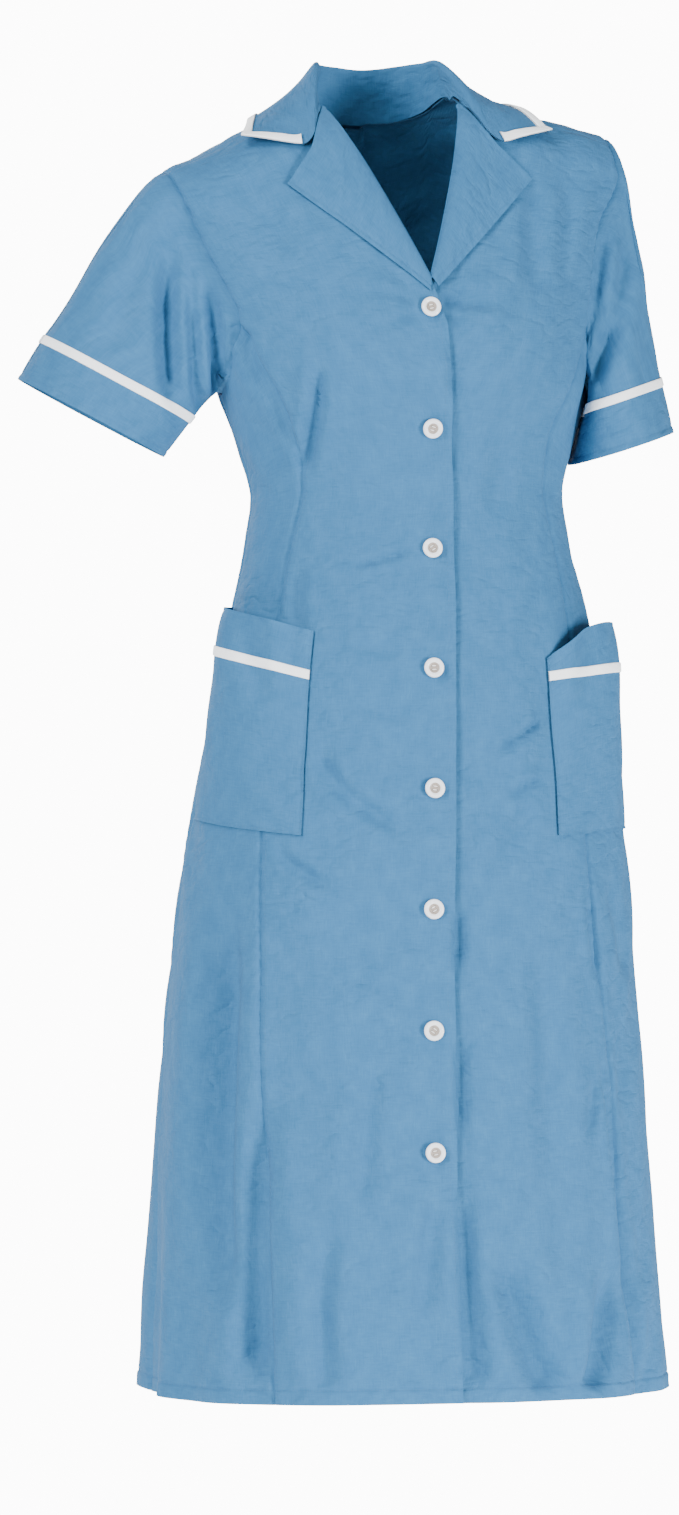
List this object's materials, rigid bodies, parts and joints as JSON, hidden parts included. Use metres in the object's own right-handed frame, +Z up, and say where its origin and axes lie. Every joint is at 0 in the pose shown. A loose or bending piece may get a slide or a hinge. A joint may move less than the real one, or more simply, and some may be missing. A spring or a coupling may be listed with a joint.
{
  "type": "nurse uniform dress",
  "caption": "Knee-length nurse uniform dress with short cuffed sleeves, notched collar, buttoned front, princess seams and patch pockets, in the pose of a standing wearer.",
  "frame": {"origin": "between the wearer's shoulders at the base of the neck, where the dress is held up", "axes": "+Z up, the front of the dress faces -Y, the wearer's right is -X"},
  "size_m": [0.5605, 0.3793, 1.1285],
  "materials": {
    "dress_cloth": "matte",
    "white_trim": "matte",
    "button_white": "satin"
  },
  "bodies": {
    "root": {"front_right": "dress_cloth", "front_left": "dress_cloth", "side_front_right": "dress_cloth", "side_front_left": "dress_cloth", "back_right": "dress_cloth", "back_left": "dress_cloth", "sleeve_right": "dress_cloth", "sleeve_left": "dress_cloth", "cuff_right": "dress_cloth", "cuff_left": "dress_cloth", "collar": "dress_cloth", "lapel_right": "dress_cloth", "lapel_left": "dress_cloth", "pocket_right": "dress_cloth", "pocket_left": "dress_cloth", "cuff_trim_right": "white_trim", "cuff_trim_left": "white_trim", "collar_trim": "white_trim", "pocket_trim_right": "white_trim", "pocket_trim_left": "white_trim", "button_1": "button_white", "button_2": "button_white", "button_3": "button_white", "button_4": "button_white", "button_5": "button_white", "button_6": "button_white", "button_7": "button_white", "button_8": "button_white"}
  },
  "joints": []
}
